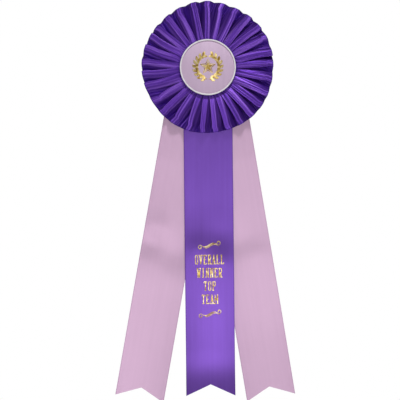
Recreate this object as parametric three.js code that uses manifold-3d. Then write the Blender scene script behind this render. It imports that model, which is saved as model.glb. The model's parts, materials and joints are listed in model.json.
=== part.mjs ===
// Award rosette: a pleated satin frill with a button centre, three satin streamers and a bar pin behind.
// Millimetres. X is to the wearer's left, Y points back to the garment, Z is up.
// The origin is the middle of the pin stem, which is where the rosette hangs on a garment.

import * as THREE from 'three';
import { mergeVertices } from 'three/addons/utils/BufferGeometryUtils.js';
import { ParametricGeometry } from 'three/addons/geometries/ParametricGeometry.js';
import Module from 'manifold-3d';

const wasm = await Module();
wasm.setup();

// ---- driving dimensions -------------------------------------------------------------------------

const seatGap = 0.3; // between pieces that are glued, sewn or stapled together
const layerGap = 0.4; // between loose layers of ribbon
const runningGap = 0.3; // between pieces that turn on each other

const frillRadius = 67.7;
const frillInnerRadius = 15;
const frillCollarRadius = 22; // inside this the pleats are sewn flat
const pleatCount = 29;
const pleatHeight = 6; // how far a pleat stands up at the frill's edge
const pleatLean = 1.6; // over 1 each pleat falls more steeply than it rises, clockwise from the front
const frillThickness = 1.2; // three plies of pleated ribbon

const cardThickness = 1;
const cardMargin = 3.2; // card outside the staples' outermost legs

const streamerWidth = 50.8;
const ribbonThickness = 0.4;
const streamerTop = -10; // top edge of the streamers, from the rosette's centre
const centreReach = 338.5; // from the rosette's centre down to the points of the centre streamer
const sideReach = 343; // the same to the middle of a side streamer's points
const notchDepth = 11.5; // fishtail cut
const swingDrop = 10; // the centre streamer bends this far below the frill
const sideSwingMargin = 8; // the side streamers bend this far below where their edges part
const centreTilt = THREE.MathUtils.degToRad(-0.6);
const leftTilt = THREE.MathUtils.degToRad(9.9);
const rightTilt = THREE.MathUtils.degToRad(-9.5);
const shoulderLevel = -34; // level at which the side streamers' offsets are taken
const leftOffset = -17;
const rightOffset = 14.4;
const centreOffset = 0.4;

const stapleWire = 0.5;
const stapleSpan = 9; // between the legs
const stapleTop = -16; // upper leg, from the rosette's centre
const stapleMargin = 3; // side staples stand this far outside the centre streamer
const stapleTipLength = 3;

const spacerWidth = 44;
const spacerHeight = 24;
const spacerBottom = -1;

const buttonRadius = 28.85;
const rimWall = 0.8;
const rimLip = 1.5; // width of the rim seen from the front
const rimLipThickness = 0.9;
const buttonPlateThickness = 0.8;
const buttonCardThickness = 1.5;
const buttonFaceThickness = 0.5;
const buttonPadClearance = 3; // between the pad and the frill's inner edge
const buttonClearance = 0.7; // between the button's rim and the pleats behind it

const threadRadius = 0.3;

const foilThickness = 0.2;
const wreathRadius = 12.6;
const wreathStemWidth = 0.7;
const wreathOpening = 0.42; // half angle of the gap at the wreath's top, radians
const wreathJoin = 0.08; // half angle of the gap at its foot
const leafPairs = 7;
const leafLength = 5.4;
const leafWidth = 2.3;
const starRadius = 8.2;
const starWaist = 0.42;

const foilFirstLine = -198.7; // middle of the first line, from the rosette's centre
const foilLinePitch = 13.65;
const foilLineHeight = 9.6;
const foilLetterPitch = 4.43;
const foilLineLetters = [7, 6, 3, 4];
const foilScrollPitch = 15; // from an ornament to the line next to it
const foilScrollWidth = 25.5;
const foilScrollHeight = 7;
const foilScrollWaist = 0.36;

const pinLevel = 20; // height of the pin above the rosette's centre
const pinPlateLength = 34;
const pinPlateHeight = 6;
const pinPlateThickness = 0.8;
const pinPadThickness = 0.8;
const pinPadInset = 1;
const garmentGap = 5; // between the plate and the pin stem
const pinStemRadius = 0.5;
const pinPointLength = 4;
const pinPivotInset = 4; // pivot from the end of the plate
const pinEarThickness = 0.6;
const pinEarWidth = 4;
const pinEarMargin = 1.5; // ear beyond the pivot's middle
const pivotRadius = 0.6;
const pinEyeWall = 0.8;
const pinEyeWidth = 2.4;
const catchInset = 3.5; // middle of the catch from the other end of the plate
const catchShellLength = 4;
const catchWall = 0.5;
const catchPostWidth = 1.6;
const catchBore = 1.05; // inner radius of the turning sleeve
const catchSleeveOverhang = 2.2;
const catchTabLength = 2;
const catchTabWidth = 1.2;
const catchTabAngle = -1.25; // from the opening, radians
const catchShellOpening = 0.85; // half angles, radians
const catchSleeveOpening = 0.95;

const discSegments = 64;
const smallSegments = 16;
const curveSegments = 10;

// ---- layers, from the back card forward ---------------------------------------------------------

const backCardRear = 0;
const crownRear = backCardRear - cardThickness - seatGap;
const leftRear = crownRear - stapleWire - seatGap;
const rightRear = leftRear - ribbonThickness - layerGap;
const centreRear = rightRear - ribbonThickness - layerGap;
const baseCardRear = centreRear - ribbonThickness - layerGap;
const baseCardFront = baseCardRear - cardThickness;
const tipRear = baseCardFront - seatGap;
const frillRear = tipRear - stapleWire - seatGap;
const collarFront = frillRear - frillThickness;
const riseAt = (radius) =>
  (pleatHeight * Math.max(0, radius - frillCollarRadius)) / (frillRadius - frillCollarRadius);
const buttonRear = collarFront - riseAt(buttonRadius) - buttonClearance;
const buttonCardRear = buttonRear - buttonPlateThickness - seatGap;
const buttonFaceRear = buttonCardRear - buttonCardThickness - seatGap;
const buttonFaceFront = buttonFaceRear - buttonFaceThickness;
const rimLipRear = buttonFaceFront - seatGap;
const rimFront = rimLipRear - rimLipThickness;
const plateRear = backCardRear + seatGap + pinPadThickness + seatGap + pinPlateThickness;
const stemDepth = plateRear + garmentGap + pinStemRadius;

// ---- colours ------------------------------------------------------------------------------------

const look = (color, roughness, metalness = 0) =>
  new THREE.MeshStandardMaterial({ color, roughness, metalness });
const purpleSatin = look(0x7a4cb8, 0.4);
const lilacSatin = look(0xccaecb, 0.45);
const whitePlastic = look(0xe6e2e6, 0.35);
const goldFoil = look(0xc9a85f, 0.3, 1);
const cardboard = look(0xeae6de, 0.85);
const thread = look(0x6b3fa8, 0.7);
const foam = look(0xf2f2f0, 0.9);
const steel = look(0xb9bcc0, 0.3, 1);
const wireSteel = look(0xa8abb0, 0.35, 1);

// ---- helpers ------------------------------------------------------------------------------------

const rosette = new THREE.Group();
rosette.position.set(0, -stemDepth, -pinLevel);

function addMesh(name, geometry, material, parent = rosette) {
  const mesh = new THREE.Mesh(geometry, material);
  mesh.name = name;
  parent.add(mesh);
  return mesh;
}

// A flat piece cut to a shape drawn in X and Z, with its back face at `rear`.
function plate(shape, thickness, rear) {
  const geometry = new THREE.ExtrudeGeometry(shape, {
    depth: thickness,
    bevelEnabled: false,
    curveSegments,
  });
  geometry.rotateX(Math.PI / 2);
  geometry.translate(0, rear, 0);
  return geometry;
}

// A ring turned about Y, from a closed list of [radius, depth] corners.
function turned(corners, segments = discSegments) {
  const profile = corners.map(([radius, depth]) => new THREE.Vector2(radius, depth));
  profile.push(profile[0].clone());
  return new THREE.LatheGeometry(profile, segments);
}

function disc(radius, thickness, rear, segments = discSegments) {
  const geometry = new THREE.CylinderGeometry(radius, radius, thickness, segments);
  geometry.translate(0, rear - thickness / 2, 0);
  return geometry;
}

function toSolid(geometry) {
  const bare = geometry.clone();
  bare.deleteAttribute('normal');
  bare.deleteAttribute('uv');
  const merged = mergeVertices(bare, 1e-4);
  return new wasm.Manifold(
    new wasm.Mesh({
      numProp: 3,
      vertProperties: new Float32Array(merged.attributes.position.array),
      triVerts: new Uint32Array(merged.index.array),
    }),
  );
}

function toGeometry(solid) {
  const mesh = solid.getMesh();
  const geometry = new THREE.BufferGeometry();
  geometry.setAttribute('position', new THREE.BufferAttribute(mesh.vertProperties, 3));
  geometry.setIndex(new THREE.BufferAttribute(mesh.triVerts, 1));
  geometry.computeVertexNormals();
  return geometry;
}

function join(geometries) {
  return toGeometry(geometries.map(toSolid).reduce((whole, part) => whole.add(part)));
}

function cut(geometry, cutter) {
  return toGeometry(toSolid(geometry).subtract(toSolid(cutter)));
}

function rectangle(left, bottom, width, height) {
  const shape = new THREE.Shape();
  shape.moveTo(left, bottom);
  shape.lineTo(left + width, bottom);
  shape.lineTo(left + width, bottom + height);
  shape.lineTo(left, bottom + height);
  shape.closePath();
  return shape;
}

// ---- frill --------------------------------------------------------------------------------------

// One pleated sheet. u runs round the ring; v runs out along the front and back in along the rear.
// The sheet lies flat inside the collar, and outside it rises and falls once for each pleat.
function frillGeometry() {
  const samplesPerPleat = 6;
  const rings = 5;
  const loop = 2 * rings + 2;

  function surface(u, v, target) {
    const step = Math.round(v * loop) % loop;
    const onFront = step <= rings;
    const ring = onFront ? step : loop - 1 - step;
    const radius = THREE.MathUtils.lerp(frillInnerRadius, frillRadius, ring / rings);
    const phase = (u * pleatCount) % 1;
    const wave = 0.5 - 0.5 * Math.cos(2 * Math.PI * phase ** pleatLean);
    const depth = frillRear - riseAt(radius) * wave - (onFront ? frillThickness : 0);
    const angle = u * 2 * Math.PI;
    target.set(radius * Math.sin(angle), depth, radius * Math.cos(angle));
  }

  const geometry = new ParametricGeometry(surface, pleatCount * samplesPerPleat, loop);
  geometry.deleteAttribute('normal');
  geometry.deleteAttribute('uv');
  const closed = mergeVertices(geometry, 1e-3);
  closed.computeVertexNormals();
  return closed;
}

function addFrill() {
  addMesh('frill', frillGeometry(), purpleSatin);
  const depth = collarFront - seatGap - threadRadius;
  const stitchRadius = (frillInnerRadius + frillCollarRadius) / 2;
  const stitching = new THREE.TorusGeometry(stitchRadius, threadRadius, 8, discSegments);
  stitching.rotateX(Math.PI / 2);
  stitching.translate(0, depth, 0);
  addMesh('frill_stitching', stitching, thread);
}

// ---- staples ------------------------------------------------------------------------------------

const sideStapleX = streamerWidth / 2 + stapleMargin;
const staples = [
  { name: 'staple_left', x: -sideStapleX, crown: crownRear, pierces: ['left'] },
  { name: 'staple_center', x: 0, crown: crownRear, pierces: ['left', 'right', 'center'] },
  { name: 'staple_right', x: sideStapleX, crown: crownRear, pierces: ['right'] },
];

// Where the legs pass through a card or ribbon, as [x, z] in the rosette's frame.
const legPoints = (staple) => [
  [staple.x, stapleTop],
  [staple.x, stapleTop - stapleSpan],
];

// Square wire bent to a staple in the Y-Z plane: crown behind, legs forward, tips turned inwards.
function addStaple(staple) {
  const outline = new THREE.Shape();
  const half = stapleWire / 2;
  const upper = stapleTop + half;
  const lower = stapleTop - stapleSpan - half;
  const crownFront = staple.crown - stapleWire;
  const tipFront = tipRear - stapleWire;
  outline.moveTo(staple.crown, upper);
  outline.lineTo(staple.crown, lower);
  outline.lineTo(tipFront, lower);
  outline.lineTo(tipFront, lower + stapleTipLength);
  outline.lineTo(tipRear, lower + stapleTipLength);
  outline.lineTo(tipRear, lower + stapleWire);
  outline.lineTo(crownFront, lower + stapleWire);
  outline.lineTo(crownFront, upper - stapleWire);
  outline.lineTo(tipRear, upper - stapleWire);
  outline.lineTo(tipRear, upper - stapleTipLength);
  outline.lineTo(tipFront, upper - stapleTipLength);
  outline.lineTo(tipFront, upper);
  outline.closePath();
  const geometry = new THREE.ExtrudeGeometry(outline, { depth: stapleWire, bevelEnabled: false });
  geometry.translate(0, 0, -half);
  // the outline's first direction is Y and its second is Z
  const turn = new THREE.Matrix4().set(0, 0, 1, staple.x, 1, 0, 0, 0, 0, 1, 0, 0, 0, 0, 0, 1);
  geometry.applyMatrix4(turn);
  addMesh(staple.name, geometry, wireSteel);
}

function punchLegHoles(geometry, points, rear) {
  const size = stapleWire + 2 * seatGap;
  const punches = points.map(([x, z]) => {
    const punch = new THREE.BoxGeometry(size, 4 * cardThickness, size);
    punch.translate(x, rear, z);
    return punch;
  });
  return cut(geometry, join(punches));
}

// ---- cards --------------------------------------------------------------------------------------

function addCards() {
  const cardRadius = Math.hypot(sideStapleX, stapleTop - stapleSpan) + cardMargin;
  const base = disc(cardRadius, cardThickness, baseCardRear);
  const punched = punchLegHoles(base, staples.flatMap(legPoints), baseCardRear);
  addMesh('frill_base_card', punched, cardboard);

  const spacerRear = backCardRear - cardThickness - seatGap;
  const spacerFront = baseCardRear + seatGap;
  const spacerShape = rectangle(-spacerWidth / 2, spacerBottom, spacerWidth, spacerHeight);
  addMesh('card_spacer', plate(spacerShape, spacerRear - spacerFront, spacerRear), foam);

  addMesh('back_card', disc(cardRadius, cardThickness, backCardRear), cardboard);
}

// ---- button -------------------------------------------------------------------------------------

function addButton() {
  const innerRadius = buttonRadius - rimWall;
  const lipRadius = buttonRadius - rimLip;
  const rim = turned([
    [innerRadius, buttonRear],
    [innerRadius, rimLipRear],
    [lipRadius, rimLipRear],
    [lipRadius, rimFront],
    [buttonRadius, rimFront],
    [buttonRadius, buttonRear],
  ]);
  addMesh('button_rim', rim, whitePlastic);

  const discRadius = innerRadius - seatGap;
  addMesh('button_back', disc(discRadius, buttonPlateThickness, buttonRear), whitePlastic);
  addMesh('button_card', disc(discRadius, buttonCardThickness, buttonCardRear), cardboard);
  addMesh('button_face', disc(discRadius, buttonFaceThickness, buttonFaceRear), lilacSatin);

  const padRear = baseCardFront - seatGap;
  const padFront = buttonRear + seatGap;
  const padRadius = frillInnerRadius - buttonPadClearance;
  addMesh('button_pad', disc(padRadius, padRear - padFront, padRear), foam);
}

// ---- emblem -------------------------------------------------------------------------------------

const emblemRear = buttonFaceFront - seatGap;
const fromTop = (angle, radius) => [radius * Math.sin(angle), radius * Math.cos(angle)];

function starShape() {
  const shape = new THREE.Shape();
  for (let corner = 0; corner < 10; corner += 1) {
    const radius = corner % 2 === 0 ? starRadius : starRadius * starWaist;
    const [x, z] = fromTop((corner * Math.PI) / 5, radius);
    if (corner === 0) shape.moveTo(x, z);
    else shape.lineTo(x, z);
  }
  shape.closePath();
  return shape;
}

// A leaf grows from the origin along +Y of its own drawing, then is turned and moved to the stem.
function leafGeometry(angle, lean) {
  const half = leafWidth / 2;
  const shape = new THREE.Shape();
  shape.moveTo(0, 0);
  shape.quadraticCurveTo(half * 1.9, leafLength * 0.45, 0, leafLength);
  shape.quadraticCurveTo(-half * 1.9, leafLength * 0.45, 0, 0);
  const geometry = new THREE.ExtrudeGeometry(shape, {
    depth: foilThickness,
    bevelEnabled: false,
    curveSegments: 6,
  });
  geometry.rotateX(Math.PI / 2);
  geometry.rotateY(angle + lean);
  const [x, z] = fromTop(angle, wreathRadius);
  geometry.translate(x, emblemRear, z);
  return geometry;
}

// Half of a laurel wreath: a curved stem with leaves in pairs, pointing up the stem.
function wreathGeometry(side) {
  const foot = Math.PI - wreathJoin;
  const tip = wreathOpening;
  const stem = new THREE.Shape();
  const inner = wreathRadius - wreathStemWidth / 2;
  const outer = wreathRadius + wreathStemWidth / 2;
  const toMath = (angle) => Math.PI / 2 - side * angle;
  stem.absarc(0, 0, outer, toMath(foot), toMath(tip), side < 0);
  stem.absarc(0, 0, inner, toMath(tip), toMath(foot), side > 0);
  stem.closePath();
  const parts = [plate(stem, foilThickness, emblemRear)];
  for (let pair = 0; pair < leafPairs; pair += 1) {
    const share = (pair + 0.35) / leafPairs;
    const angle = side * THREE.MathUtils.lerp(foot, tip, share);
    const alongStem = -side * (Math.PI / 2);
    parts.push(leafGeometry(angle, alongStem - side * 0.42));
    parts.push(leafGeometry(angle, alongStem + side * 0.62));
  }
  return join(parts);
}

function addEmblem() {
  addMesh('emblem_star', plate(starShape(), foilThickness, emblemRear), goldFoil);
  addMesh('wreath_left', wreathGeometry(-1), goldFoil);
  addMesh('wreath_right', wreathGeometry(1), goldFoil);
}

// ---- streamers ----------------------------------------------------------------------------------

// Each streamer's group stands at its bend, with +Z up the ribbon.
// Its head is stapled to the base card and its tail hangs below.
const alongRibbon = (tilt) => [-Math.sin(tilt), -Math.cos(tilt)];
const acrossRibbon = (tilt) => [Math.cos(tilt), -Math.sin(tilt)];

// Distance down a side streamer's middle line at which its inner edge meets the other's inner edge.
function edgeCrossing(tilt, offset, otherTilt, otherOffset) {
  const half = streamerWidth / 2;
  const [dx, dz] = alongRibbon(tilt);
  const [nx, nz] = acrossRibbon(tilt);
  const [ex, ez] = alongRibbon(otherTilt);
  const [mx, mz] = acrossRibbon(otherTilt);
  const inward = offset < 0 ? half : -half;
  const gapX = otherOffset - mx * inward - (offset + nx * inward);
  const gapZ = -mz * inward - nz * inward;
  return (gapX * ez - gapZ * ex) / (dx * ez - dz * ex);
}

const sideBend =
  Math.max(
    edgeCrossing(leftTilt, leftOffset, rightTilt, rightOffset),
    edgeCrossing(rightTilt, rightOffset, leftTilt, leftOffset),
    frillRadius + shoulderLevel,
  ) + sideSwingMargin;

// Middle of a side streamer's bend, a distance `sideBend` down from the shoulder.
function sideBendPoint(tilt, offset) {
  const [dx, dz] = alongRibbon(tilt);
  return [offset + dx * sideBend, shoulderLevel + dz * sideBend];
}

const centreBend = -(frillRadius + swingDrop);
const streamers = {
  center: {
    tilt: centreTilt,
    bend: [centreOffset, centreBend],
    rear: centreRear,
    reach: centreReach,
    cloth: purpleSatin,
  },
  left: {
    tilt: leftTilt,
    bend: sideBendPoint(leftTilt, leftOffset),
    rear: leftRear,
    reach: sideReach,
    cloth: lilacSatin,
  },
  right: {
    tilt: rightTilt,
    bend: sideBendPoint(rightTilt, rightOffset),
    rear: rightRear,
    reach: sideReach,
    cloth: lilacSatin,
  },
};

// From the rosette's frame to a streamer's own flat frame.
function toRibbon(streamer, [x, z]) {
  const dx = x - streamer.bend[0];
  const dz = z - streamer.bend[1];
  const c = Math.cos(streamer.tilt);
  const s = Math.sin(streamer.tilt);
  return [dx * c - dz * s, dx * s + dz * c];
}

function tailShape(length) {
  const half = streamerWidth / 2;
  const shape = new THREE.Shape();
  shape.moveTo(-half, -layerGap);
  shape.lineTo(-half, -length);
  shape.lineTo(0, -length + notchDepth);
  shape.lineTo(half, -length);
  shape.lineTo(half, -layerGap);
  shape.closePath();
  return shape;
}

function addStreamer(side) {
  const streamer = streamers[side];
  const group = new THREE.Group();
  group.position.set(streamer.bend[0], 0, streamer.bend[1]);
  group.rotation.y = streamer.tilt;
  rosette.add(group);

  const headLength = (streamerTop - streamer.bend[1]) / Math.cos(streamer.tilt);
  const headShape = rectangle(-streamerWidth / 2, layerGap, streamerWidth, headLength - layerGap);
  const crossing = staples.filter((staple) => staple.pierces.includes(side));
  const holes = crossing.flatMap(legPoints).map((point) => toRibbon(streamer, point));
  const head = punchLegHoles(plate(headShape, ribbonThickness, streamer.rear), holes, streamer.rear);
  addMesh(`streamer_${side}_head`, head, streamer.cloth, group);

  const tailLength = (streamer.reach + streamer.bend[1]) / Math.cos(streamer.tilt);
  const tail = plate(tailShape(tailLength), ribbonThickness, streamer.rear);
  addMesh(`streamer_${side}_tail`, tail, streamer.cloth, group);
  return group;
}

// A pointed ornament: two tapering arms with a small lozenge at the middle.
function scrollShape(level) {
  const arm = foilScrollWidth / 2;
  const half = foilScrollHeight / 2;
  const waist = half * foilScrollWaist;
  const shape = new THREE.Shape();
  shape.moveTo(-arm, level);
  shape.quadraticCurveTo(-arm / 2, level + half, -waist, level + waist);
  shape.lineTo(0, level + half);
  shape.lineTo(waist, level + waist);
  shape.quadraticCurveTo(arm / 2, level + half, arm, level);
  shape.quadraticCurveTo(arm / 2, level - half, waist, level - waist);
  shape.lineTo(0, level - half);
  shape.lineTo(-waist, level - waist);
  shape.quadraticCurveTo(-arm / 2, level - half, -arm, level);
  return shape;
}

function addFoilPrinting(group) {
  const foilRear = centreRear - ribbonThickness - seatGap;
  const firstLevel = foilFirstLine - centreBend;
  const lastLevel = firstLevel - foilLinePitch * (foilLineLetters.length - 1);

  const topScroll = plate(scrollShape(firstLevel + foilScrollPitch), foilThickness, foilRear);
  addMesh('foil_scroll_top', topScroll, goldFoil, group);

  foilLineLetters.forEach((letters, index) => {
    const width = letters * foilLetterPitch;
    const bottom = firstLevel - foilLinePitch * index - foilLineHeight / 2;
    const shape = rectangle(-width / 2, bottom, width, foilLineHeight);
    addMesh(`foil_line_${index + 1}`, plate(shape, foilThickness, foilRear), goldFoil, group);
  });

  const bottomScroll = plate(scrollShape(lastLevel - foilScrollPitch), foilThickness, foilRear);
  addMesh('foil_scroll_bottom', bottomScroll, goldFoil, group);
}

// ---- bar pin ------------------------------------------------------------------------------------

const pinBar = new THREE.Group();
pinBar.position.set(0, 0, pinLevel);
rosette.add(pinBar);

const pivotX = pinPlateLength / 2 - pinPivotInset;
const catchX = -pinPlateLength / 2 + catchInset;
const eyeHole = pivotRadius + runningGap;
const eyeRadius = eyeHole + pinEyeWall;
const earOffset = pinEyeWidth / 2 + runningGap + pinEarThickness / 2;
const shellBore = catchBore + catchWall + runningGap;
const shellRadius = shellBore + catchWall;
const sleeveLength = catchShellLength + catchSleeveOverhang;
const pivotLength = 2 * (earOffset + pinEarThickness);

function pivotCylinder(radius, length) {
  const geometry = new THREE.CylinderGeometry(radius, radius, length, smallSegments);
  geometry.rotateX(Math.PI / 2);
  geometry.translate(pivotX, stemDepth, 0);
  return geometry;
}

function addPinPlate() {
  const padShape = rectangle(
    -pinPlateLength / 2 + pinPadInset,
    -pinPlateHeight / 2,
    pinPlateLength - 2 * pinPadInset,
    pinPlateHeight,
  );
  const padRear = backCardRear + seatGap + pinPadThickness;
  addMesh('pin_pad', plate(padShape, pinPadThickness, padRear), foam, pinBar);

  const bar = new THREE.BoxGeometry(pinPlateLength, pinPlateThickness, pinPlateHeight);
  bar.translate(0, plateRear - pinPlateThickness / 2, 0);
  const earDepth = stemDepth + eyeHole + pinEarMargin - (plateRear - pinPlateThickness / 2);
  const ears = [-1, 1].map((side) => {
    const ear = new THREE.BoxGeometry(pinEarWidth, earDepth, pinEarThickness);
    ear.translate(pivotX, plateRear - pinPlateThickness / 2 + earDepth / 2, side * earOffset);
    return ear;
  });
  const drilled = cut(join([bar, ...ears]), pivotCylinder(eyeHole, 2 * pivotLength));
  addMesh('pin_plate', drilled, steel, pinBar);
  addMesh('pin_hinge_rivet', pivotCylinder(pivotRadius, pivotLength), steel, pinBar);
}

// A wire from the eye to a point that lies in the catch.
function addPinStem() {
  const eye = cut(pivotCylinder(eyeRadius, pinEyeWidth), pivotCylinder(eyeHole, 2 * pinEyeWidth));
  const start = pivotX - eyeHole - pinEyeWall / 2;
  const tip = catchX - sleeveLength / 2 - pinPointLength / 4;
  const shoulder = tip + pinPointLength;
  const wire = new THREE.LatheGeometry(
    [
      new THREE.Vector2(0, 0),
      new THREE.Vector2(pinStemRadius, 0),
      new THREE.Vector2(pinStemRadius, start - shoulder),
      new THREE.Vector2(0, start - tip),
    ],
    smallSegments,
  );
  wire.rotateZ(Math.PI / 2);
  wire.translate(start, stemDepth, 0);
  addMesh('pin_stem', join([eye, wire]), steel, pinBar);
}

// A split tube along X whose slot faces back.
function splitTube(inner, outer, length, opening, centreX) {
  const shape = new THREE.Shape();
  shape.absarc(0, 0, outer, opening, 2 * Math.PI - opening, false);
  shape.absarc(0, 0, inner, 2 * Math.PI - opening, opening, true);
  shape.closePath();
  const geometry = new THREE.ExtrudeGeometry(shape, {
    depth: length,
    bevelEnabled: false,
    curveSegments: smallSegments,
  });
  geometry.translate(0, 0, -length / 2);
  // the drawing's first direction is Y and its second is Z
  const turn = new THREE.Matrix4().set(
    0, 0, 1, centreX,
    1, 0, 0, stemDepth,
    0, 1, 0, 0,
    0, 0, 0, 1,
  );
  geometry.applyMatrix4(turn);
  return geometry;
}

function addCatch() {
  const shell = splitTube(shellBore, shellRadius, catchShellLength, catchShellOpening, catchX);
  const postFront = plateRear + seatGap;
  const postRear = stemDepth - shellBore - catchWall / 2;
  const post = new THREE.BoxGeometry(catchShellLength, postRear - postFront, catchPostWidth);
  post.translate(catchX, (postFront + postRear) / 2, 0);
  addMesh('pin_catch_shell', join([shell, post]), steel, pinBar);

  const sleeveRadius = catchBore + catchWall;
  const tube = splitTube(catchBore, sleeveRadius, sleeveLength, catchSleeveOpening, catchX);
  const tabWidth = (sleeveLength - catchShellLength) / 2 - runningGap;
  const tab = new THREE.BoxGeometry(tabWidth, catchTabLength, catchTabWidth);
  tab.translate(0, catchBore + catchWall / 2 + catchTabLength / 2, 0);
  tab.rotateX(catchTabAngle);
  tab.translate(catchX - sleeveLength / 2 + tabWidth / 2, stemDepth, 0);
  addMesh('pin_catch_sleeve', join([tube, tab]), steel, pinBar);
}

// ---- assembly -----------------------------------------------------------------------------------

addFrill();
addCards();
staples.forEach(addStaple);
addButton();
addEmblem();
addFoilPrinting(addStreamer('center'));
addStreamer('left');
addStreamer('right');
addPinPlate();
addPinStem();
addCatch();

const awardRosette = new THREE.Group();
awardRosette.add(rosette);

export default awardRosette;
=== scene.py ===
import json
import math

import bpy
import numpy as np
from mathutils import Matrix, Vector


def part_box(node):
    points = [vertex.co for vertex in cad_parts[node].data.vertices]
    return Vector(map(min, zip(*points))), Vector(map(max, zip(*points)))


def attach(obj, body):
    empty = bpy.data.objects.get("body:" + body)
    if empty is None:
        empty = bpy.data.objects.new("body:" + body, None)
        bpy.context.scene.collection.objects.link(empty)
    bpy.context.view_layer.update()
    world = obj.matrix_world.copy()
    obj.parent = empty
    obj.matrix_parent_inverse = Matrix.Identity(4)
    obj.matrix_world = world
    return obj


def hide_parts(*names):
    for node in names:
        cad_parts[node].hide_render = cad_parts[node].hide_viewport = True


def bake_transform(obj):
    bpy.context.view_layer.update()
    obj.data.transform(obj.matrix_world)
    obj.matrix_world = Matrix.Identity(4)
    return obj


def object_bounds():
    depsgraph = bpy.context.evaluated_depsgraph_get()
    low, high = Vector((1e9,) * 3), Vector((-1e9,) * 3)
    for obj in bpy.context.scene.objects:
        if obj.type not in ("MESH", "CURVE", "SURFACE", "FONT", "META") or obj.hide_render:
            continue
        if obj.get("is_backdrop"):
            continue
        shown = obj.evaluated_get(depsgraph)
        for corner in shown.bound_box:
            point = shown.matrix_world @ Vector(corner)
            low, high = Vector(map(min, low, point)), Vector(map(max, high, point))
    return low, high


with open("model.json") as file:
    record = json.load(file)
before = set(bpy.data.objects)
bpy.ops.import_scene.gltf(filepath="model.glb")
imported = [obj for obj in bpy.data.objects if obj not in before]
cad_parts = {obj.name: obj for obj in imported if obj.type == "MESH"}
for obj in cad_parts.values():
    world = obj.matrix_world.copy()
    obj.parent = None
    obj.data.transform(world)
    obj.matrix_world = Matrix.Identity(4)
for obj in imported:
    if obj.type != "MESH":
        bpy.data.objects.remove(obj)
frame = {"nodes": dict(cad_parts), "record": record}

# Award rosette: pleated satin frill, round button, three fishtail streamers, bar pin behind.
# Metres. The front faces -Y and +Z is up.

mm = 0.001
cadLow, cadHigh = (np.array(corner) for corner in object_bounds())


def span(node):
    low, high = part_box(node)
    return np.array(low), np.array(high)


def jointNamed(name):
    return next(joint for joint in frame["record"]["behaviour"]["joints"] if joint["name"] == name)


frillRear = span("frill")[1][1]
rimLow, rimHigh = span("button_rim")
rosetteX = (rimLow[0] + rimHigh[0]) / 2
rosetteZ = (rimLow[2] + rimHigh[2]) / 2
rimRadius = (rimHigh[0] - rimLow[0]) / 2


# sRGB hex to linear: each channel is put through the inverse of the sRGB curve
def linear(hexColour):
    channels = np.array([int(hexColour[i:i + 2], 16) for i in (1, 3, 5)]) / 255
    low, high = channels / 12.92, ((channels + 0.055) / 1.055) ** 2.4
    return (*np.where(channels <= 0.04045, low, high).tolist(), 1.0)


# settings are the node's own properties; inputs are values or links, by socket name or number
def addNode(tree, kind, settings, inputs):
    node = tree.nodes.new(kind)
    for name, value in settings.items():
        setattr(node, name, value)
    for key, value in inputs.items():
        if isinstance(value, bpy.types.NodeSocket):
            tree.links.new(value, node.inputs[key])
        else:
            node.inputs[key].default_value = value
    return node


def newMaterial(name, roughness, metallic=0.0, ior=1.5):
    material = bpy.data.materials.new(name)
    material.use_nodes = True
    tree = material.node_tree
    tree.nodes.clear()
    shader = addNode(tree, "ShaderNodeBsdfPrincipled", {}, {
        "Roughness": roughness, "Metallic": metallic, "IOR": ior})
    addNode(tree, "ShaderNodeOutputMaterial", {}, {"Surface": shader.outputs[0]})
    return material, tree, shader


# a colour ramp through (place, hex colour) stops
def blendColours(tree, factor, stops):
    node = addNode(tree, "ShaderNodeValToRGB", {}, {0: factor})
    elements = node.color_ramp.elements
    while len(elements) < len(stops):
        elements.new(0.5)
    for element, (place, colour) in zip(elements, stops):
        element.position = place
        element.color = linear(colour)
    return node.outputs[0]


# a second bump on the same shader is laid over the first
def addBump(tree, shader, height, strength, distance):
    bump = addNode(tree, "ShaderNodeBump", {}, {
        "Strength": strength, "Distance": distance, "Height": height})
    for link in shader.inputs["Normal"].links:
        tree.links.new(link.from_socket, bump.inputs["Normal"])
    tree.links.new(bump.outputs[0], shader.inputs["Normal"])


# quads between neighbouring points[u, v]; a closed direction joins its last row to its first.
# uv[u, v] has one more row in a closed direction, so a pattern doesn't run back at the seam.
def gridObject(name, points, uv, closeU=False, closeV=False):
    countU, countV = points.shape[:2]
    u, v = np.meshgrid(np.arange(countU - (not closeU)), np.arange(countV - (not closeV)),
                       indexing="ij")
    corners = [(u, v), (u + 1, v), (u + 1, v + 1), (u, v + 1)]
    faces = np.stack([(a % countU) * countV + b % countV for a, b in corners], axis=-1)
    cornerUv = np.stack([uv[a, b] for a, b in corners], axis=-2)
    return meshObject(name, points.reshape(-1, 3), faces.reshape(-1, 4), cornerUv.reshape(-1, 2))


def meshObject(name, points, faces, cornerUv):
    mesh = bpy.data.meshes.new(name)
    mesh.from_pydata(points.tolist(), [], faces.tolist())
    layer = mesh.uv_layers.new(name="UVMap")
    layer.data.foreach_set("uv", cornerUv.astype(np.float32).ravel())
    mesh.polygons.foreach_set("use_smooth", np.ones(len(faces), bool))
    mesh.update()
    piece = bpy.data.objects.new(name, mesh)
    bpy.context.scene.collection.objects.link(piece)
    return piece


# even steps from low to high with one more narrow step at each end, so that smooth shading
# turns the cut edge of the cloth within that step
def clothSteps(low, high, count, narrow=0.12 * mm):
    return np.concatenate([[low], np.linspace(low + narrow, high - narrow, count - 2), [high]])


def thicken(piece, thickness, offset=0.0):
    solidify = piece.modifiers.new("thickness", "SOLIDIFY")
    solidify.thickness = thickness
    solidify.offset = offset


# material, the CAD nodes the piece stands for, and the body it rides on
def dress(piece, material, nodes, body=None):
    piece.data.materials.append(material)
    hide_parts(*nodes)
    if body:
        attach(piece, body)


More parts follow.
